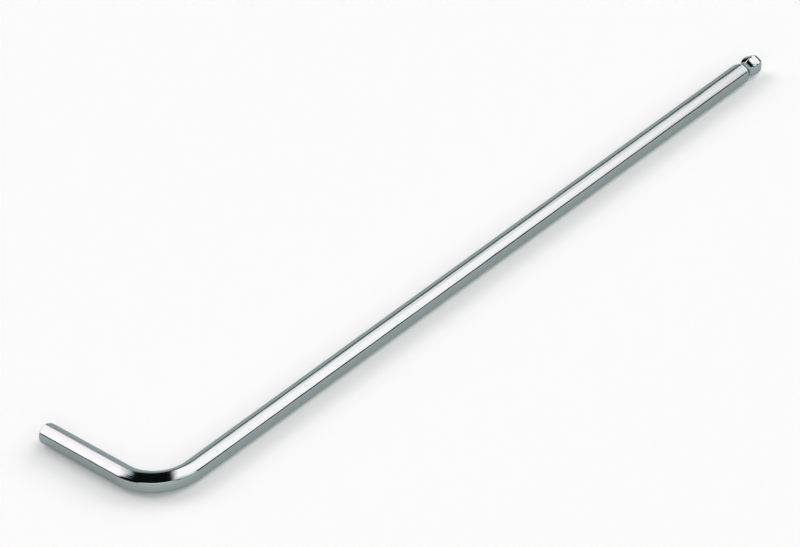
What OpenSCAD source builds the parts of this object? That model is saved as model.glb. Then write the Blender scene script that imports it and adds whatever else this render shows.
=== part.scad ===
// Ball-end hex key: one length of hexagonal bar, bent once through a right angle.
// The long arm lies along +X and ends in a ball, the short arm lies along +Y and ends in a plain
// chamfered tip. The bar rests on one of its six edges, so a corner of the section points up and
// the inner and outer sides of the bend are flats. The origin is at the middle of the
// footprint, on the surface that the key lies on. All sizes are in millimetres.

/* [Bar] */
// Width of the hexagonal bar across its flats
across_flats = 2.5; // [1.5:0.1:6]
// Radius of the rounded edges of the bar
edge_radius = 0.24; // [0.05:0.01:0.3]

/* [Arms] */
// Overall length along the long arm, from the outside of the short arm to the tip of the ball
long_length = 114.5; // [60:0.5:240]
// Overall length along the short arm, from the outside of the long arm to the plain tip
short_length = 20.5; // [18:0.5:60]
// Radius of the bend at the middle of the bar
bend_radius = 6; // [3.5:0.05:12]

/* [Ball end] */
// How much less the ball measures across its curved flats than the bar does across its own
ball_undersize = 0.02; // [0:0.01:0.1]
// How much longer the radius of a curved flat is than half the width of the ball
flat_arc_excess = 0.6; // [0.1:0.05:2]
// How far the blunt ridges of the ball stand out beyond its curved flats
ball_ridge_rise = 0.16; // [0.05:0.01:0.19]
// Distance from the widest place of the ball to its tip
ball_to_tip = 1.25; // [0.8:0.05:1.6]
// Diameter of the small flat on the tip of the ball
ball_tip_d = 1.5; // [0.8:0.05:1.8]
// How far the flats of the neck lie below the curved flats of the ball
neck_depth = 0.4; // [0.2:0.02:0.55]
// How far the blunt ridges of the neck stand out beyond its flats
neck_ridge_rise = 0.06; // [0.02:0.01:0.1]
// Radius of the hollow of the neck, along the arm
neck_arc_radius = 0.25; // [0.1:0.05:1.2]
// Angle between the shoulder behind the neck and the arm
shoulder_angle = 30; // [20:1:60]

/* [Plain end] */
// Diameter of the flat end of the short arm, inside its chamfer
plain_end_d = 2.15; // [1:0.05:2.4]
// Angle between the chamfer of the short arm and the arm
plain_chamfer_angle = 45; // [30:1:60]

/* [Hidden] */
$fn = 96;

// Half of the width across flats, and the radius of the circle round the rounded edges
half_flats = across_flats / 2;
edge_centre = (half_flats - edge_radius) / cos(30);
half_edges = edge_centre + edge_radius;

// Radius of what the turned shapes are cut from, a little more than the bar
blank_radius = half_edges + edge_radius;

// Ends of both arms, measured from the corner where their middle lines would meet
long_end = long_length - half_flats;
short_end = short_length - half_flats;
ball_x = long_end - ball_to_tip;

// Each side of the ball is an arc whose centre lies across the middle line from it
ball_half = half_flats - ball_undersize / 2;
ball_arc_radius = ball_half + flat_arc_excess;
ball_radius = ball_half + ball_ridge_rise;

// The hollow of the neck is an arc that runs smoothly into the arc of the ball
neck_half = ball_half - neck_depth;
neck_radius = neck_half + neck_ridge_rise;
neck_arc_y = neck_half + neck_arc_radius;
arc_reach = ball_arc_radius + neck_arc_radius;
neck_x = ball_x - sqrt(2 * arc_reach * neck_depth - neck_depth * neck_depth);

// Where the two arcs meet
meet_share = ball_arc_radius / arc_reach;
meet_x = ball_x + (neck_x - ball_x) * meet_share;
meet_y = (neck_arc_y + flat_arc_excess) * meet_share - flat_arc_excess;

// Where the straight shoulder leaves the hollow of the neck, and where it passes the edges
foot_x = neck_x - neck_arc_radius * sin(shoulder_angle);
foot_y = neck_arc_y - neck_arc_radius * cos(shoulder_angle);
shoulder_x = foot_x - (blank_radius - foot_y) / tan(shoulder_angle);

// Section of the bar: a hexagon with rounded edges, two of its flats upright and a corner on top
module bar_section() {
    flat_length = 2 * edge_centre * sin(30);
    for (turn = [0 : 60 : 120])
        rotate(turn) square([across_flats, flat_length], center = true);
    for (turn = [0 : 60 : 300])
        rotate(turn) translate([0, edge_centre]) circle(edge_radius);
}

// Straight bar along +X, with a corner of its section on top
module straight_bar(from_x, to_x) {
    translate([from_x, 0, 0])
        rotate([90, 0, 90]) linear_extrude(to_x - from_x) bar_section();
}

// Shape turned about the X axis from an outline whose y is the radius
module turned() {
    rotate([0, 90, 0]) rotate_extrude() rotate(90) children();
}

// Quarter turn between the arms
module bend() {
    translate([bend_radius, bend_radius, 0])
        rotate(180) rotate_extrude(angle = 90) translate([bend_radius, 0]) bar_section();
}

// Half of the outline that shoulder, neck and ball show from the side, above the middle line
module ball_end_outline() {
    // Arm and shoulder, as far as the foot of the shoulder
    polygon([
        [bend_radius, 0],
        [bend_radius, blank_radius],
        [shoulder_x, blank_radius],
        [foot_x, foot_y],
        [foot_x, 0]
    ]);
    // Hollow neck
    difference() {
        polygon([
            [foot_x, 0],
            [foot_x, foot_y],
            [neck_x, neck_arc_y],
            [meet_x, meet_y],
            [meet_x, 0]
        ]);
        translate([neck_x, neck_arc_y]) circle(neck_arc_radius);
    }
    // Ball
    intersection() {
        translate([ball_x, -flat_arc_excess]) circle(ball_arc_radius);
        translate([meet_x, 0]) square(2 * ball_arc_radius);
    }
}

// Two opposite sides of the ball end, cut right through
module side_pair() {
    rotate([90, 0, 0]) linear_extrude(4 * blank_radius, center = true) {
        ball_end_outline();
        mirror([0, 1]) ball_end_outline();
    }
}

// Turned shape that blunts the ridges of the neck and the ball and bevels the tip
module ball_blank() {
    neck_back_x = (foot_x + neck_x) / 2;
    bevel_x = neck_back_x - (blank_radius - neck_radius) / tan(shoulder_angle);
    tip_bevel = blank_radius - ball_tip_d / 2;
    turned() {
        polygon([
            [bend_radius, 0],
            [bend_radius, blank_radius],
            [bevel_x, blank_radius],
            [neck_back_x, neck_radius],
            [ball_x, neck_radius],
            [ball_x, 0]
        ]);
        intersection() {
            translate([ball_x, -flat_arc_excess]) circle(ball_radius + flat_arc_excess);
            polygon([
                [ball_x - ball_radius, 0],
                [ball_x - ball_radius, blank_radius],
                [long_end - tip_bevel, blank_radius],
                [long_end, ball_tip_d / 2],
                [long_end, 0]
            ]);
        }
    }
}

module long_arm() {
    intersection() {
        straight_bar(bend_radius, long_end);
        side_pair();
        rotate([60, 0, 0]) side_pair();
        rotate([120, 0, 0]) side_pair();
        ball_blank();
    }
}

// Short arm, made along +X and then swapped to +Y
module short_arm() {
    chamfer_x = short_end - (blank_radius - plain_end_d / 2) / tan(plain_chamfer_angle);
    mirror([1, -1, 0]) intersection() {
        straight_bar(bend_radius, short_end);
        turned() polygon([
            [bend_radius, 0],
            [bend_radius, blank_radius],
            [chamfer_x, blank_radius],
            [short_end, plain_end_d / 2],
            [short_end, 0]
        ]);
    }
}

module hex_key() {
    color("silver")
        translate([half_flats - long_length / 2, half_flats - short_length / 2, half_edges]) {
            long_arm();
            bend();
            short_arm();
        }
}

hex_key();
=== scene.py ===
"""Looks of a ball-end hex key: bright plated steel on a pale floor, among soft light panels.

The key is one bent bar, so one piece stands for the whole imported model. Its middle line is laid
out in code, and a Geometry Nodes tree sweeps the section of the bar along it.
"""

import logging
import math
from dataclasses import dataclass, field
from enum import Enum
from typing import Any

import bpy
import numpy as np
from mathutils import Matrix, Vector


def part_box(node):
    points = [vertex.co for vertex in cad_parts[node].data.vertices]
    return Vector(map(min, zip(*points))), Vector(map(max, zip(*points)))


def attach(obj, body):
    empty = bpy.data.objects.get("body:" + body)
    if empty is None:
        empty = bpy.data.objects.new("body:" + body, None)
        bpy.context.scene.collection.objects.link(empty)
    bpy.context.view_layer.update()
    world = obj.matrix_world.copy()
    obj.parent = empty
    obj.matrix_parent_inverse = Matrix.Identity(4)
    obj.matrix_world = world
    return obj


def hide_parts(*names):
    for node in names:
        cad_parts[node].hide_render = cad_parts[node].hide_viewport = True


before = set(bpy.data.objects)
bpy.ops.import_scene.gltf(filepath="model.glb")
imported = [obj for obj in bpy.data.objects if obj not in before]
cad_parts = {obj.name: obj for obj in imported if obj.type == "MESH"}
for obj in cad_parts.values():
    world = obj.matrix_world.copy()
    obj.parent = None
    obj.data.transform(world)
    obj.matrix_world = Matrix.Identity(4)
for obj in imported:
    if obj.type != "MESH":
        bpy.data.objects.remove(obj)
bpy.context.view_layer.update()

log = logging.getLogger("hex_key")

MM = 0.001
IMAGE_WIDTH = 800
SIDES = 6
SIDE_TURN = math.radians(60)
HALF_SIDE_TURN = math.radians(30)
NODE = "hex_key"
BODY = "root"


class Attribute(Enum):
    """Names of the values that the bar's points carry into its mesh and its finish."""

    FLATS = "flats_scale"
    LIMIT = "turned_limit"
    AXIS = "axis_point"
    ALONG = "along_mm"
    AROUND = "around_mm"
    GROUND = "ground_share"


class Socket(Enum):
    """Kinds of input that a Geometry Nodes tree takes."""

    NUMBER = "NodeSocketFloat"
    COUNT = "NodeSocketInt"
    GEOMETRY = "NodeSocketGeometry"
    MATERIAL = "NodeSocketMaterial"


def linear_colour(code: str) -> tuple[float, float, float, float]:
    """Turn an sRGB hex value into a linear colour.

    Args:
        code: Six hex digits, such as "C8CCD0".

    Returns:
        Linear red, green, blue and an alpha of 1.
    """
    # The numbers of the curve are those of the sRGB standard
    channels = []
    for start in (0, 2, 4):
        value = int(code[start:start + 2], 16) / 255
        if value <= 0.04045:
            channels.append(value / 12.92)
        else:
            channels.append(((value + 0.055) / 1.055) ** 2.4)
    return (channels[0], channels[1], channels[2], 1.0)


def add_node(tree: bpy.types.NodeTree, kind: str, inputs: dict[Any, Any] | None = None,
             **settings: Any) -> bpy.types.Node:
    """Add one node with its settings, its values and its links.

    Args:
        tree: The tree that takes the node.
        kind: Blender's name for the kind of node.
        inputs: For each input's name or number, a value or the output that feeds it.
        **settings: Properties of the node itself.

    Returns:
        The new node.
    """
    node = tree.nodes.new(kind)
    for name, value in settings.items():
        setattr(node, name, value)
    for key, value in (inputs or {}).items():
        if isinstance(value, bpy.types.NodeSocket):
            tree.links.new(value, node.inputs[key])
        else:
            node.inputs[key].default_value = value
    return node


def soft_min(first: float, second: float, width: float) -> float:
    """Return the smaller of two values, with a rounded change-over of the given width."""
    share = min(max(0.5 + 0.5 * (second - first) / width, 0.0), 1.0)
    return second + (first - second) * share - width * share * (1 - share)


def soft_max(first: float, second: float, width: float) -> float:
    """Return the larger of two values, with a rounded change-over of the given width."""
    return -soft_min(-first, -second, width)


@dataclass(frozen=True)
class PlatedSteel:
    """Drawn steel bar with a bright plating.

    The plating gives sharp mirror images with a cool grey tint, and the drawing of the bar
    leaves fine lines along it that fray the edges of those images. Real lines lie closer
    together than a pixel, so they are drawn coarser here. The neck behind the ball is cut with
    a grinding wheel, which leaves it matt under the plating.

    Attributes:
        colour: Colour of the plating as an sRGB hex value.
        grazing_colour: Its tint towards grazing angles, as an sRGB hex value.
        roughness: Roughness of the plating.
        ground_roughness: Roughness of the ground neck.
        line_spacing_mm: Distance between the fine lines.
        line_length_mm: Length of a fine line.
        line_depth_mm: Depth of the fine lines.
        wave_spacing_mm: Distance between the broad waves.
        wave_length_mm: Length of a broad wave.
        wave_depth_mm: Depth of the broad waves.
        streak_detail: Detail of the noise that draws lines and waves.
        streak_roughness: Roughness of that noise.
    """

    colour: str = "A0ACAC"
    grazing_colour: str = "BCC8C8"
    roughness: float = 0.07
    ground_roughness: float = 0.5
    line_spacing_mm: float = 0.22
    line_length_mm: float = 7.0
    line_depth_mm: float = 0.008
    wave_spacing_mm: float = 0.5
    wave_length_mm: float = 14.0
    wave_depth_mm: float = 0.004
    streak_detail: float = 2.0
    streak_roughness: float = 0.5

    def build(self) -> bpy.types.Material:
        """Build the material of the plating.

        Returns:
            The node material.
        """
        material = bpy.data.materials.new("plated_steel")
        material.use_nodes = True
        tree = material.node_tree
        tree.nodes.clear()
        along = add_node(tree, "ShaderNodeAttribute", attribute_name=Attribute.ALONG.value)
        around = add_node(tree, "ShaderNodeAttribute", attribute_name=Attribute.AROUND.value)
        lines = self._streaks(tree, along, around, self.line_length_mm, self.line_spacing_mm)
        waves = self._streaks(tree, along, around, self.wave_length_mm, self.wave_spacing_mm)
        coarse = add_node(tree, "ShaderNodeBump", {
            "Strength": 1.0,
            "Distance": self.wave_depth_mm * MM,
            "Height": waves.outputs["Fac"],
        })
        fine = add_node(tree, "ShaderNodeBump", {
            "Strength": 1.0,
            "Distance": self.line_depth_mm * MM,
            "Height": lines.outputs["Fac"],
            "Normal": coarse.outputs["Normal"],
        })
        ground = add_node(tree, "ShaderNodeAttribute", attribute_name=Attribute.GROUND.value)
        roughness = add_node(tree, "ShaderNodeMapRange", {
            "Value": ground.outputs["Fac"],
            "To Min": self.roughness,
            "To Max": self.ground_roughness,
        })
        shader = add_node(tree, "ShaderNodeBsdfPrincipled", {
            "Base Color": linear_colour(self.colour),
            "Metallic": 1.0,
            "Roughness": roughness.outputs["Result"],
            "Specular Tint": linear_colour(self.grazing_colour),
            "Normal": fine.outputs["Normal"],
        })
        add_node(tree, "ShaderNodeOutputMaterial", {"Surface": shader.outputs["BSDF"]})
        return material

    def _streaks(self, tree: bpy.types.NodeTree, along: bpy.types.Node, around: bpy.types.Node,
                 length_mm: float, spacing_mm: float) -> bpy.types.Node:
        """Add noise that is drawn out along the bar.

        Args:
            tree: The material's tree.
            along: Node that gives the place along the bar in millimetres.
            around: Node that gives the place round the section in millimetres.
            length_mm: Length of a streak.
            spacing_mm: Distance between streaks.

        Returns:
            The noise node.
        """
        run = add_node(tree, "ShaderNodeMath", {0: along.outputs["Fac"], 1: length_mm},
                       operation="DIVIDE")
        turn = add_node(tree, "ShaderNodeMath", {0: around.outputs["Fac"], 1: spacing_mm},
                        operation="DIVIDE")
        place = add_node(tree, "ShaderNodeCombineXYZ", {0: run.outputs[0], 1: turn.outputs[0]})
        return add_node(tree, "ShaderNodeTexNoise", {
            "Vector": place.outputs[0],
            "Scale": 1.0,
            "Detail": self.streak_detail,
            "Roughness": self.streak_roughness,
        })


@dataclass(frozen=True)
class PaintedFloor:
    """Matt white board that keeps shadows.

    It glows a little for the camera and for mirror images, so that both show the same white. The
    lights are a little warm together, and the paint is cooler for that, so it looks neutral.

    Attributes:
        colour: Colour of the paint as an sRGB hex value.
        roughness: Roughness of the paint.
        glow: Light that the floor adds for the camera and for mirror images.
    """

    colour: str = "F9FDFC"
    roughness: float = 0.9
    glow: float = 0.06

    def build(self) -> bpy.types.Material:
        """Build the material of the floor.

        Returns:
            The node material.
        """
        material = bpy.data.materials.new("white_board")
        material.use_nodes = True
        tree = material.node_tree
        tree.nodes.clear()
        rays = add_node(tree, "ShaderNodeLightPath").outputs
        seen = rays["Is Camera Ray"]
        for kind in ("Is Glossy Ray", "Is Transmission Ray"):
            seen = add_node(tree, "ShaderNodeMath", {0: seen, 1: rays[kind]},
                            operation="MAXIMUM").outputs[0]
        strength = add_node(tree, "ShaderNodeMath", {0: seen, 1: self.glow}, operation="MULTIPLY")
        shader = add_node(tree, "ShaderNodeBsdfPrincipled", {
            "Base Color": linear_colour(self.colour),
            "Roughness": self.roughness,
            "Specular IOR Level": 0.0,
            "Emission Color": linear_colour("FFFFFF"),
            "Emission Strength": strength.outputs[0],
        })
        add_node(tree, "ShaderNodeOutputMaterial", {"Surface": shader.outputs["BSDF"]})
        return material


@dataclass
class Station:
    """One place along the middle line where the section is set.

    Attributes:
        place: Position in millimetres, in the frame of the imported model.
        scale: Size of the hexagon there, as a share of the plain bar's.
        limit: Greatest distance from the middle line, in millimetres.
        ground: How matt the surface is there, from 0 for drawn bar to 1 for the ground neck.
    """

    place: tuple[float, float, float]
    scale: float
    limit: float
    ground: float = 0.0


@dataclass
class HexKey:
    """The bent bar with its ball end and its plain end.

    Sizes are in millimetres and angles in radians.

    Attributes:
        finish: Finish of the whole key.
        low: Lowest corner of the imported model's box.
        high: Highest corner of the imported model's box.
        across_flats: Width of the bar across its flats.
        edge_radius: Radius of the bar's rounded edges.
        bend_radius: Radius of the bend at the middle of the bar.
        ball_undersize: How much less the ball measures across its curved flats than the bar.
        flat_arc_excess: How much longer a curved flat's radius is than half the ball's width.
        ball_ridge_rise: How far the ball's blunt ridges stand out beyond its curved flats.
        ball_to_tip: Distance from the ball's widest place to its tip.
        ball_tip_radius: Radius of the small flat on the tip.
        neck_depth: How far the neck's flats lie below the ball's.
        neck_ridge_rise: How far the neck's blunt ridges stand out beyond its flats.
        neck_arc_radius: Radius of the neck's hollow along the arm.
        shoulder_angle: Angle between the shoulder behind the neck and the arm.
        ground_middle: Distance from the ball's widest place back to the middle of the ground zone.
        ground_reach: Half the length of the ground zone, with its fade.
        ground_fade: Length over which the ground zone fades.
        plain_end_radius: Radius of the flat end of the short arm.
        rim_radius: Radius of the rounded rim of both end faces.
        ridge_softness: Width of the change-over where two cut surfaces meet.
        crown_angle: How far a side's slight crown turns to either hand of its middle.
        side_points: Number of points on one side and one edge of the section.
        flat_share: Share of those points that lies on the side.
        arm_step: Distance between stations on the straight arms.
        bend_steps: Number of steps round the bend.
        ball_step: Distance between stations on the ball end.
        ball_end_length: Length with close stations, back from the ball's widest place.
        chamfer_stations: Number of stations on the chamfer of the short arm.
        chamfer_gap: Distance from the chamfer's last station to the first one on the plain bar.
        rim_steps: Number of steps round the rim of an end face.
        face_steps: Rings of an end face, as shares of its radius.
        face_gap: Distance between those rings along the arm.
        free: Turned limit of what isn't turned, well outside the bar.
    """

    finish: PlatedSteel
    low: Vector
    high: Vector
    across_flats: float = 2.5
    edge_radius: float = 0.24
    bend_radius: float = 6.0
    ball_undersize: float = 0.02
    flat_arc_excess: float = 0.6
    ball_ridge_rise: float = 0.16
    ball_to_tip: float = 1.25
    ball_tip_radius: float = 0.75
    neck_depth: float = 0.4
    neck_ridge_rise: float = 0.06
    neck_arc_radius: float = 0.25
    shoulder_angle: float = math.radians(30)
    ground_middle: float = 1.25
    ground_reach: float = 0.28
    ground_fade: float = 0.1
    plain_end_radius: float = 1.075
    rim_radius: float = 0.06
    ridge_softness: float = 0.06
    crown_angle: float = math.radians(3)
    side_points: int = 20
    flat_share: float = 0.5
    arm_step: float = 2.0
    bend_steps: int = 64
    ball_step: float = 0.03
    ball_end_length: float = 2.75
    chamfer_stations: int = 10
    chamfer_gap: float = 0.1
    rim_steps: int = 5
    face_steps: tuple[float, ...] = (0.7, 0.35, 0.08)
    face_gap: float = 0.001
    free: float = 3.0

    @property
    def half_flats(self) -> float:
        """Half of the width across flats."""
        return self.across_flats / 2

    @property
    def half_edges(self) -> float:
        """Distance from the middle line to the outside of a rounded edge."""
        return (self.half_flats - self.edge_radius) / math.cos(HALF_SIDE_TURN) + self.edge_radius

    @property
    def corner(self) -> Vector:
        """Point where the middle lines of both arms would meet."""
        return Vector((self.low.x + self.half_flats, self.low.y + self.half_flats, self.half_edges))

    @property
    def long_end(self) -> float:
        """Length of the long arm from the corner of the middle lines."""
        return self.high.x - self.low.x - self.half_flats

    @property
    def short_end(self) -> float:
        """Length of the short arm from the corner of the middle lines."""
        return self.high.y - self.low.y - self.half_flats

    @property
    def ball_x(self) -> float:
        """Place of the ball's widest part on the long arm."""
        return self.long_end - self.ball_to_tip

    def _rim(self, end: float, face_radius: float) -> list[tuple[float, float]]:
        """Return the rounded rim and the face of an end whose bevel lies at 45 degrees.

        Args:
            end: Place of the face along its arm.
            face_radius: Radius of the face, as far as the bevel.

        Returns:
            Places along the arm, each with the radius there.
        """
        radius = self.rim_radius
        bevel_angle = math.radians(45)
        middle = face_radius - radius * math.tan(bevel_angle / 2)
        rim_end = end - self.face_gap * len(self.face_steps)
        outline = []
        for angle in np.linspace(bevel_angle, 0, self.rim_steps + 1):
            place = rim_end - radius + radius * math.cos(angle)
            outline.append((place, middle + radius * math.sin(angle)))
        for count, share in enumerate(self.face_steps, start=1):
            outline.append((rim_end + self.face_gap * count, face_radius * share))
        return outline

    def _ball_outline(self, x: float) -> tuple[float, float]:
        """Work out the ball end's outline: shoulder, hollow neck, ball and bevelled tip.

        Args:
            x: Place on the long arm.

        Returns:
            Half of the width across flats there, and the turned limit.
        """
        ball_half = self.half_flats - self.ball_undersize / 2
        arc_radius = ball_half + self.flat_arc_excess
        neck_half = ball_half - self.neck_depth
        reach = arc_radius + self.neck_arc_radius
        neck_x = self.ball_x - math.sqrt(2 * reach * self.neck_depth - self.neck_depth ** 2)
        neck_y = neck_half + self.neck_arc_radius
        meet_x = self.ball_x + (neck_x - self.ball_x) * arc_radius / reach
        slope = math.tan(self.shoulder_angle)
        foot_x = neck_x - self.neck_arc_radius * math.sin(self.shoulder_angle)
        foot_y = neck_y - self.neck_arc_radius * math.cos(self.shoulder_angle)
        if x < foot_x:
            flats = soft_min(self.half_flats, foot_y + (foot_x - x) * slope, self.ridge_softness)
        elif x < meet_x:
            flats = neck_y - math.sqrt(max(self.neck_arc_radius ** 2 - (x - neck_x) ** 2, 0))
        else:
            flats = math.sqrt(arc_radius ** 2 - (x - self.ball_x) ** 2) - self.flat_arc_excess
        neck_radius = neck_half + self.neck_ridge_rise
        back_x = (foot_x + neck_x) / 2
        ball_radius = ball_half + self.ball_ridge_rise + self.flat_arc_excess
        ball = math.sqrt(max(ball_radius ** 2 - (x - self.ball_x) ** 2, 0)) - self.flat_arc_excess
        bevel = self.ball_tip_radius + self.long_end - x
        front = soft_min(ball, bevel, self.ridge_softness)
        behind = neck_radius + max(back_x - x, 0) * slope
        limit = behind if x < back_x else soft_max(behind, front, self.ridge_softness)
        return flats, limit

    def _ground_share(self, x: float) -> float:
        """Work out how much of the ground surface shows at a place.

        Args:
            x: Place on the long arm.

        Returns:
            The share of ground surface, from 0 to 1.
        """
        distance = abs(x - (self.ball_x - self.ground_middle))
        share = (self.ground_reach - distance) / self.ground_fade
        return min(max(share, 0.0), 1.0)

    def _stations(self) -> list[Station]:
        """Lay out the stations from the plain end round the bend to the tip of the ball.

        Returns:
            The stations in their order along the bar.
        """
        corner = self.corner
        stations = []

        def short(y: float, limit: float) -> None:
            """Add a station on the short arm."""
            stations.append(Station((corner.x, corner.y + y, corner.z), 1.0, limit))

        def long(x: float, scale: float, limit: float, ground: float = 0.0) -> None:
            """Add a station on the long arm."""
            stations.append(Station((corner.x + x, corner.y, corner.z), scale, limit, ground))

        for y, radius in reversed(self._rim(self.short_end, self.plain_end_radius)):
            short(y, radius)
        chamfer = self.half_edges - self.plain_end_radius + self.ridge_softness
        for depth in np.linspace(self.rim_radius, chamfer, self.chamfer_stations):
            short(self.short_end - depth, self.plain_end_radius + depth)
        plain_from = self.short_end - chamfer - self.chamfer_gap
        for y in np.arange(plain_from, self.bend_radius, -self.arm_step):
            short(y, self.free)
        for turn in np.linspace(0, math.pi / 2, self.bend_steps + 1):
            place = (
                corner.x + self.bend_radius * (1 - math.cos(turn)),
                corner.y + self.bend_radius * (1 - math.sin(turn)),
                corner.z,
            )
            stations.append(Station(place, 1.0, self.free))
        close_from = self.ball_x - self.ball_end_length
        first = self.bend_radius + self.arm_step
        for x in np.arange(first, close_from - self.arm_step / 2, self.arm_step):
            long(x, 1.0, self.free)
        last = self.long_end - self.rim_radius
        for x in np.linspace(close_from, last, round((last - close_from) / self.ball_step)):
            flats, limit = self._ball_outline(x)
            long(x, flats / self.half_flats, limit, self._ground_share(x))
        tip_scale = self._ball_outline(self.long_end)[0] / self.half_flats
        for x, radius in self._rim(self.long_end, self.ball_tip_radius):
            long(x, tip_scale, radius)
        return stations

    def _middle_line(self) -> bpy.types.Object:
        """Build the middle line, a chain of edges that carries the stations' values.

        Returns:
            The object of the middle line.
        """
        stations = self._stations()
        places = [Vector(station.place) * MM for station in stations]
        mesh = bpy.data.meshes.new("middle_line")
        mesh.from_pydata(places, [(i, i + 1) for i in range(len(places) - 1)], [])
        along = 0.0
        travelled = []
        for before, here in zip([places[0]] + places, places):
            along += (here - before).length / MM
            travelled.append(along)
        values = {
            Attribute.FLATS: [station.scale for station in stations],
            Attribute.LIMIT: [station.limit * MM for station in stations],
            Attribute.ALONG: travelled,
            Attribute.GROUND: [station.ground for station in stations],
        }
        for name, numbers in values.items():
            mesh.attributes.new(name.value, "FLOAT", "POINT").data.foreach_set("value", numbers)
        line = bpy.data.objects.new("middle_line", mesh)
        bpy.context.scene.collection.objects.link(line)
        return line

    def _tree(self) -> tuple[bpy.types.NodeTree, dict[str, Any]]:
        """Build the Geometry Nodes tree that sweeps the section along the middle line.

        Returns:
            The tree, and the value of each of its named inputs.
        """
        pull = math.sin(HALF_SIDE_TURN - self.crown_angle) / math.sin(HALF_SIDE_TURN)
        flat_radius = (self.half_flats - pull * self.edge_radius) / (1 - pull)
        corner_share = math.sin(self.crown_angle) / math.sin(HALF_SIDE_TURN)
        corner_out = (flat_radius - self.edge_radius) * corner_share
        kinds = {
            "Half flats": (Socket.NUMBER, self.half_flats * MM),
            "Flat radius": (Socket.NUMBER, flat_radius * MM),
            "Edge radius": (Socket.NUMBER, self.edge_radius * MM),
            "Edge centre": (Socket.NUMBER, corner_out * MM),
            "Crown angle": (Socket.NUMBER, self.crown_angle),
            "Flat share": (Socket.NUMBER, self.flat_share),
            "Side points": (Socket.COUNT, self.side_points),
            "Softness": (Socket.NUMBER, self.ridge_softness * MM),
            "Finish": (Socket.MATERIAL, self.finish.build()),
        }
        tree = bpy.data.node_groups.new("swept_bar", "GeometryNodeTree")
        tree.interface.new_socket("Geometry", in_out="INPUT", socket_type=Socket.GEOMETRY.value)
        for name, (kind, _) in kinds.items():
            tree.interface.new_socket(name, in_out="INPUT", socket_type=kind.value)
        tree.interface.new_socket("Geometry", in_out="OUTPUT", socket_type=Socket.GEOMETRY.value)
        given = add_node(tree, "NodeGroupInput").outputs
        section = self._section(tree, given)
        swept = self._sweep(tree, given, section)
        rounded = self._turn_down(tree, given, swept)
        smooth = add_node(tree, "GeometryNodeSetShadeSmooth", {"Geometry": rounded})
        real = add_node(tree, "GeometryNodeRealizeInstances", {"Geometry": smooth.outputs[0]})
        dressed = add_node(tree, "GeometryNodeSetMaterial", {
            "Geometry": real.outputs[0],
            "Material": given["Finish"],
        })
        add_node(tree, "NodeGroupOutput", {"Geometry": dressed.outputs[0]})
        return tree, {name: value for name, (_, value) in kinds.items()}

    def _section(self, tree: bpy.types.NodeTree, given: Any) -> bpy.types.NodeSocket:
        """Add the section of the bar: six slightly crowned sides joined by round edges.

        Args:
            tree: The tree that takes the nodes.
            given: Outputs of the tree's input node.

        Returns:
            The closed curve of the section.
        """
        def number(operation: str, *values: Any) -> bpy.types.NodeSocket:
            """Add one step of arithmetic."""
            inputs = dict(enumerate(values))
            return add_node(tree, "ShaderNodeMath", inputs, operation=operation).outputs[0]

        count = number("MULTIPLY", given["Side points"], SIDES)
        circle = add_node(tree, "GeometryNodeCurvePrimitiveCircle", {"Resolution": count})
        index = add_node(tree, "GeometryNodeInputIndex").outputs[0]
        sixths = number("DIVIDE", index, given["Side points"])
        side = number("FLOOR", sixths)
        share = number("FRACT", sixths)
        crown = given["Crown angle"]
        turn = add_node(tree, "ShaderNodeMapRange", {
            "Value": share,
            "From Min": 0.0,
            "From Max": given["Flat share"],
            "To Min": number("MULTIPLY", crown, -1.0),
            "To Max": crown,
        })
        more = add_node(tree, "ShaderNodeMapRange", {
            "Value": share,
            "From Min": given["Flat share"],
            "From Max": 1.0,
            "To Min": 0.0,
            "To Max": number("SUBTRACT", SIDE_TURN, number("MULTIPLY", crown, 2.0)),
        })
        angle = number("ADD", turn.outputs["Result"], more.outputs["Result"])
        on_edge = number("GREATER_THAN", share, given["Flat share"])

        def choose(on_flat: Any, otherwise: Any) -> bpy.types.NodeSocket:
            """Take one value on a side and another on an edge."""
            picked = add_node(tree, "ShaderNodeMix", {0: on_edge, 2: on_flat, 3: otherwise})
            return picked.outputs[0]

        inset = number("SUBTRACT", given["Half flats"], given["Flat radius"])
        edge_x = number("MULTIPLY", given["Edge centre"], math.cos(HALF_SIDE_TURN))
        edge_y = number("MULTIPLY", given["Edge centre"], math.sin(HALF_SIDE_TURN))
        middle_x = choose(inset, edge_x)
        middle_y = choose(0.0, edge_y)
        radius = choose(given["Flat radius"], given["Edge radius"])
        place = add_node(tree, "ShaderNodeCombineXYZ", {
            "X": number("MULTIPLY_ADD", radius, number("COSINE", angle), middle_x),
            "Y": number("MULTIPLY_ADD", radius, number("SINE", angle), middle_y),
        })
        turned = add_node(tree, "ShaderNodeVectorRotate", {
            "Vector": place.outputs[0],
            "Angle": number("MULTIPLY", number("SUBTRACT", side, 1.0), SIDE_TURN),
        }, rotation_type="Z_AXIS")
        shaped = add_node(tree, "GeometryNodeSetPosition", {
            "Geometry": circle.outputs["Curve"],
            "Position": turned.outputs[0],
        })
        length = add_node(tree, "GeometryNodeSplineParameter").outputs["Length"]
        stored = add_node(tree, "GeometryNodeStoreNamedAttribute", {
            "Geometry": shaped.outputs[0],
            "Name": Attribute.AROUND.value,
            "Value": number("DIVIDE", length, MM),
        }, data_type="FLOAT", domain="POINT")
        return stored.outputs[0]

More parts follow.
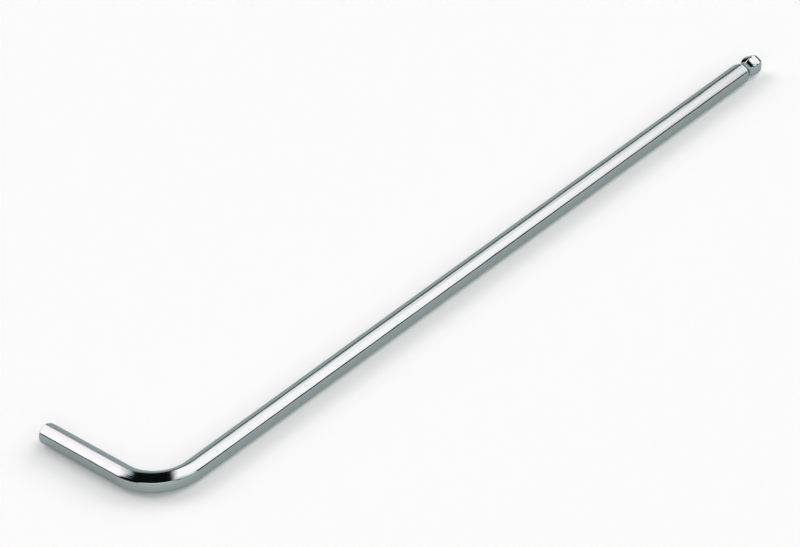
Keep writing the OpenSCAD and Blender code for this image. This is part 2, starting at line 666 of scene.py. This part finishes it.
    def _sweep(self, tree: bpy.types.NodeTree, given: Any,
               section: bpy.types.NodeSocket) -> bpy.types.NodeSocket:
        """Add the sweep of the section along the middle line.

        Args:
            tree: The tree that takes the nodes.
            given: Outputs of the tree's input node.
            section: The closed curve of the section.

        Returns:
            The swept mesh, closed at both ends.
        """
        line = add_node(tree, "GeometryNodeMeshToCurve", {"Mesh": given["Geometry"]})
        marked = add_node(tree, "GeometryNodeStoreNamedAttribute", {
            "Geometry": line.outputs[0],
            "Name": Attribute.AXIS.value,
            "Value": add_node(tree, "GeometryNodeInputPosition").outputs[0],
        }, data_type="FLOAT_VECTOR", domain="POINT")
        upright = add_node(tree, "GeometryNodeSetCurveNormal", {"Curve": marked.outputs[0]},
                           mode="Z_UP")
        size = add_node(tree, "GeometryNodeInputNamedAttribute", {"Name": Attribute.FLATS.value},
                        data_type="FLOAT")
        swept = add_node(tree, "GeometryNodeCurveToMesh", {
            "Curve": upright.outputs[0],
            "Profile Curve": section,
            "Scale": size.outputs[0],
            "Fill Caps": True,
        })
        return swept.outputs[0]

    def _turn_down(self, tree: bpy.types.NodeTree, given: Any,
                   bar: bpy.types.NodeSocket) -> bpy.types.NodeSocket:
        """Add the turning that blunts the ridges: no point stays outside the turned limit.

        Args:
            tree: The tree that takes the nodes.
            given: Outputs of the tree's input node.
            bar: The swept mesh.

        Returns:
            The mesh with its ridges turned down.
        """
        axis = add_node(tree, "GeometryNodeInputNamedAttribute", {"Name": Attribute.AXIS.value},
                        data_type="FLOAT_VECTOR").outputs[0]
        limit = add_node(tree, "GeometryNodeInputNamedAttribute", {"Name": Attribute.LIMIT.value},
                         data_type="FLOAT").outputs[0]
        here = add_node(tree, "GeometryNodeInputPosition").outputs[0]
        out = add_node(tree, "ShaderNodeVectorMath", {0: here, 1: axis}, operation="SUBTRACT")
        length = add_node(tree, "ShaderNodeVectorMath", {0: out.outputs[0]}, operation="LENGTH")
        cut = add_node(tree, "ShaderNodeMath", {
            0: length.outputs["Value"],
            1: limit,
            2: given["Softness"],
        }, operation="SMOOTH_MIN")
        share = add_node(tree, "ShaderNodeMath", {0: cut.outputs[0], 1: length.outputs["Value"]},
                         operation="DIVIDE")
        scaled = add_node(tree, "ShaderNodeVectorMath", {
            0: out.outputs[0],
            "Scale": share.outputs[0],
        }, operation="SCALE")
        place = add_node(tree, "ShaderNodeVectorMath", {0: axis, 1: scaled.outputs[0]},
                         operation="ADD")
        moved = add_node(tree, "GeometryNodeSetPosition", {
            "Geometry": bar,
            "Position": place.outputs[0],
        })
        return moved.outputs[0]

    def build(self) -> bpy.types.Object:
        """Build the finished key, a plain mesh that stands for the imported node.

        Returns:
            The object of the key.
        """
        line = self._middle_line()
        tree, values = self._tree()
        modifier = line.modifiers.new("swept_bar", "NODES")
        modifier.node_group = tree
        for item in tree.interface.items_tree:
            if item.name in values:
                modifier[item.identifier] = values[item.name]
        depsgraph = bpy.context.evaluated_depsgraph_get()
        mesh = bpy.data.meshes.new_from_object(
            line.evaluated_get(depsgraph), preserve_all_data_layers=True, depsgraph=depsgraph
        )
        bpy.data.objects.remove(line)
        mesh.name = "key_bar"
        piece = bpy.data.objects.new("key_bar", mesh)
        bpy.context.scene.collection.objects.link(piece)
        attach(piece, BODY)
        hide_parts(NODE)
        return piece


@dataclass(frozen=True)
class PanelEdge:
    """A straight edge of a light panel, as the key sees it.

    The panel's light reaches a part of the way towards a direction, and fades there.

    Attributes:
        azimuth: Direction on the floor that the edge faces, in degrees from +X towards +Y.
        elevation: Height of that direction above the floor, in degrees.
        reach: How far the light goes in that direction, as the sine of its angle.
        fade: Width of the fade, in the same measure.
    """

    azimuth: float
    elevation: float
    reach: float
    fade: float

    @property
    def facing(self) -> Vector:
        """Unit vector that the edge faces."""
        azimuth = math.radians(self.azimuth)
        elevation = math.radians(self.elevation)
        return Vector((
            math.cos(azimuth) * math.cos(elevation),
            math.sin(azimuth) * math.cos(elevation),
            math.sin(elevation),
        ))


@dataclass(frozen=True)
class LightPanel:
    """A large soft light, bounded by straight edges.

    Attributes:
        name: What the panel is called in the world's tree.
        brightness: Its light, where 1 renders as white.
        colour: Its colour as an sRGB hex value.
        edges: Edges that bound it.
    """

    name: str
    brightness: float
    colour: str
    edges: tuple[PanelEdge, ...]


@dataclass
class Studio:
    """Pale floor in a dark room with light panels round it.

    The panels are placed by what the key mirrors towards the camera. The front panel and its
    bright half show in the long arm's upper side, the left panel and its cool edge in the short
    arm's upper side, the right panel in the front of the ball, and the back wall in the short
    arm's upper ridge. The dark room between them shows in the bend and along the ridges. The
    low front panel shows in the long arm's upper side when the key is seen from above. The fill
    lights the floor and the sides turned away from the camera.

    Attributes:
        floor_finish: Finish of the floor.
        floor_size: Width of the floor in metres.
        room: Colour of the dark room as an sRGB hex value.
        panels: The light panels.
    """

    floor_finish: PaintedFloor = PaintedFloor()
    floor_size: float = 30.0
    room: str = "16181C"
    panels: tuple[LightPanel, ...] = (
        LightPanel("front panel", 1.75, "FFF4F4", (
            PanelEdge(255.5, -27.7, -0.12, 0.06),
            PanelEdge(142, 0, -0.225, 0.16),
            PanelEdge(72.5, 0, 0.06, 0.06),
            PanelEdge(0, -90, -0.7, 0.14),
        )),
        LightPanel("bright half of the front panel", 0.85, "FFE0E4", (
            PanelEdge(255.5, -27.7, -0.12, 0.06),
            PanelEdge(142, 0, -0.225, 0.16),
            PanelEdge(78, 5, -0.012, 0.06),
            PanelEdge(0, -90, -0.7, 0.14),
        )),
        LightPanel("right panel", 3.1, "FFF4F4", (
            PanelEdge(0, 90, 0.7, 0.14),
            PanelEdge(180, 0, -0.66, 0.06),
            PanelEdge(90, 0, 0.45, 0.1),
            PanelEdge(0, -90, -0.27, 0.14),
        )),
        LightPanel("low front panel", 1.8, "F4FFFF", (
            PanelEdge(270, 0, 0.9, 0.1),
            PanelEdge(90, 0, -0.42, 0.06),
            PanelEdge(180, 0, 0.05, 0.1),
            PanelEdge(0, 0, 0.42, 0.06),
        )),
        LightPanel("left panel", 2.3, "FFD4D6", (
            PanelEdge(308, 30, -0.06, 0.34),
            PanelEdge(200, 0, 0.19, 0.04),
            PanelEdge(0, 0, 0.0, 0.3),
            PanelEdge(0, -90, -0.18, 0.1),
        )),
        LightPanel("cool edge of the left panel", 0.9, "DCF8FF", (
            PanelEdge(308, 30, 0.075, 0.09),
            PanelEdge(200, 0, 0.19, 0.04),
            PanelEdge(0, 0, 0.0, 0.3),
            PanelEdge(0, -90, -0.18, 0.1),
        )),
        LightPanel("fill behind the camera", 1.7, "FFFFFF", (
            PanelEdge(0, 0, -0.22, 0.1),
            PanelEdge(90, 0, -0.12, 0.1),
            PanelEdge(0, 90, 0.75, 0.1),
            PanelEdge(0, -90, -0.2, 0.1),
        )),
        LightPanel("back wall", 1.1, "F4FFFF", (
            PanelEdge(320, 20, 0.33, 0.08),
            PanelEdge(270, 53, 0.4, 0.12),
            PanelEdge(90, 0, 0.6, 0.08),
            PanelEdge(180, 0, 0.0, 0.3),
            PanelEdge(0, -90, -0.2, 0.06),
        )),
        LightPanel("high back panel", 2.4, "F0FFFF", (
            PanelEdge(270, 0, -0.66, 0.06),
            PanelEdge(90, 0, 0.86, 0.06),
            PanelEdge(0, -90, -0.22, 0.1),
            PanelEdge(0, 0, 0.5, 0.1),
            PanelEdge(180, 0, 0.2, 0.1),
        )),
    )

    def build(self) -> None:
        """Lay the floor and light the room."""
        half = self.floor_size / 2
        mesh = bpy.data.meshes.new("floor")
        corners = [(-half, -half, 0), (half, -half, 0), (half, half, 0), (-half, half, 0)]
        mesh.from_pydata(corners, [], [(0, 1, 2, 3)])
        floor = bpy.data.objects.new("floor", mesh)
        floor.data.materials.append(self.floor_finish.build())
        bpy.context.scene.collection.objects.link(floor)
        self._world()

    def _world(self) -> None:
        """Build the world: each direction shows the dark room or a light panel."""
        world = bpy.data.worlds.new("studio")
        world.use_nodes = True
        tree = world.node_tree
        tree.nodes.clear()
        direction = add_node(tree, "ShaderNodeTexCoord").outputs["Generated"]
        colour = linear_colour(self.room)[:3]
        for panel in self.panels:
            glow = self._panel(tree, direction, panel)
            colour = add_node(tree, "ShaderNodeVectorMath", {0: colour, 1: glow},
                              operation="ADD").outputs[0]
        background = add_node(tree, "ShaderNodeBackground", {"Color": colour, "Strength": 1.0})
        add_node(tree, "ShaderNodeOutputWorld", {"Surface": background.outputs[0]})
        bpy.context.scene.world = world

    def _panel(self, tree: bpy.types.NodeTree, direction: bpy.types.NodeSocket,
               panel: LightPanel) -> bpy.types.NodeSocket:
        """Add one light panel to the world.

        Args:
            tree: The world's tree.
            direction: Output that gives the direction looked in.
            panel: The panel's brightness, its colour and its edges.

        Returns:
            The panel's light in each direction.
        """
        glow = add_node(tree, "ShaderNodeValue", label=panel.name).outputs[0]
        glow.default_value = panel.brightness
        for edge in panel.edges:
            along = add_node(tree, "ShaderNodeVectorMath", {0: direction, 1: edge.facing},
                             operation="DOT_PRODUCT")
            inside = add_node(tree, "ShaderNodeMapRange", {
                "Value": along.outputs["Value"],
                "From Min": edge.reach + edge.fade / 2,
                "From Max": edge.reach - edge.fade / 2,
            }, interpolation_type="SMOOTHSTEP")
            glow = add_node(tree, "ShaderNodeMath", {0: glow, 1: inside.outputs["Result"]},
                            operation="MULTIPLY").outputs[0]
        tinted = add_node(tree, "ShaderNodeVectorMath", {
            0: linear_colour(panel.colour)[:3],
            "Scale": glow,
        }, operation="SCALE")
        return tinted.outputs[0]


@dataclass
class PhotoCamera:
    """The photograph's camera: a long lens that looks down on the bend from outside it.

    Lengths are in millimetres and angles in degrees.

    Attributes:
        target: Point that the camera looks at.
        azimuth: Direction of view on the floor, from +Y towards +X.
        elevation: How steeply it looks down.
        roll: Turn of the picture round its middle.
        distance: Distance from the camera to the target.
        focal_pixels: Focal length in pixels of the 800 pixel wide picture.
        sensor_width: Width of the sensor.
        nearest: Nearest distance that the camera sees.
        farthest: Farthest distance that the camera sees.
    """

    target: Vector = field(default_factory=lambda: Vector((-5.859, -2.645, 1.406)))
    azimuth: float = 45.625
    elevation: float = 37.276
    roll: float = 3.912
    distance: float = 677.14
    focal_pixels: float = 5402.4
    sensor_width: float = 36.0
    nearest: float = 10.0
    farthest: float = 100000.0

    def build(self) -> bpy.types.Object:
        """Create the camera and make it the scene's own.

        Returns:
            The camera's object.
        """
        azimuth = math.radians(self.azimuth)
        elevation = math.radians(self.elevation)
        forward = Vector((
            math.sin(azimuth) * math.cos(elevation),
            math.cos(azimuth) * math.cos(elevation),
            -math.sin(elevation),
        ))
        level = Vector((math.cos(azimuth), -math.sin(azimuth), 0))
        upright = level.cross(forward)
        roll = math.radians(self.roll)
        right = level * math.cos(roll) - upright * math.sin(roll)
        up = upright * math.cos(roll) + level * math.sin(roll)
        data = bpy.data.cameras.new("camera")
        data.sensor_fit = "HORIZONTAL"
        data.sensor_width = self.sensor_width
        data.lens = self.focal_pixels / IMAGE_WIDTH * self.sensor_width
        data.clip_start = self.nearest * MM
        data.clip_end = self.farthest * MM
        camera = bpy.data.objects.new("camera", data)
        turn = Matrix((right, up, -forward)).transposed().to_4x4()
        place = (self.target - forward * self.distance) * MM
        camera.matrix_world = Matrix.Translation(place) @ turn
        bpy.context.scene.collection.objects.link(camera)
        bpy.context.scene.camera = camera
        return camera


def main() -> None:
    """Build the key, the studio and the camera, and report each piece."""
    logging.basicConfig(level=logging.INFO, format="%(name)s: %(message)s")
    low, high = (Vector(corner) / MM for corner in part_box(NODE))
    key = HexKey(PlatedSteel(), low, high)
    piece = key.build()
    log.info("%s: %d faces", piece.name, len(piece.data.polygons))
    Studio().build()
    log.info("floor and lights are in place")
    PhotoCamera().build()
    bpy.context.scene.view_settings.view_transform = "Standard"


if __name__ == "__main__":
    main()
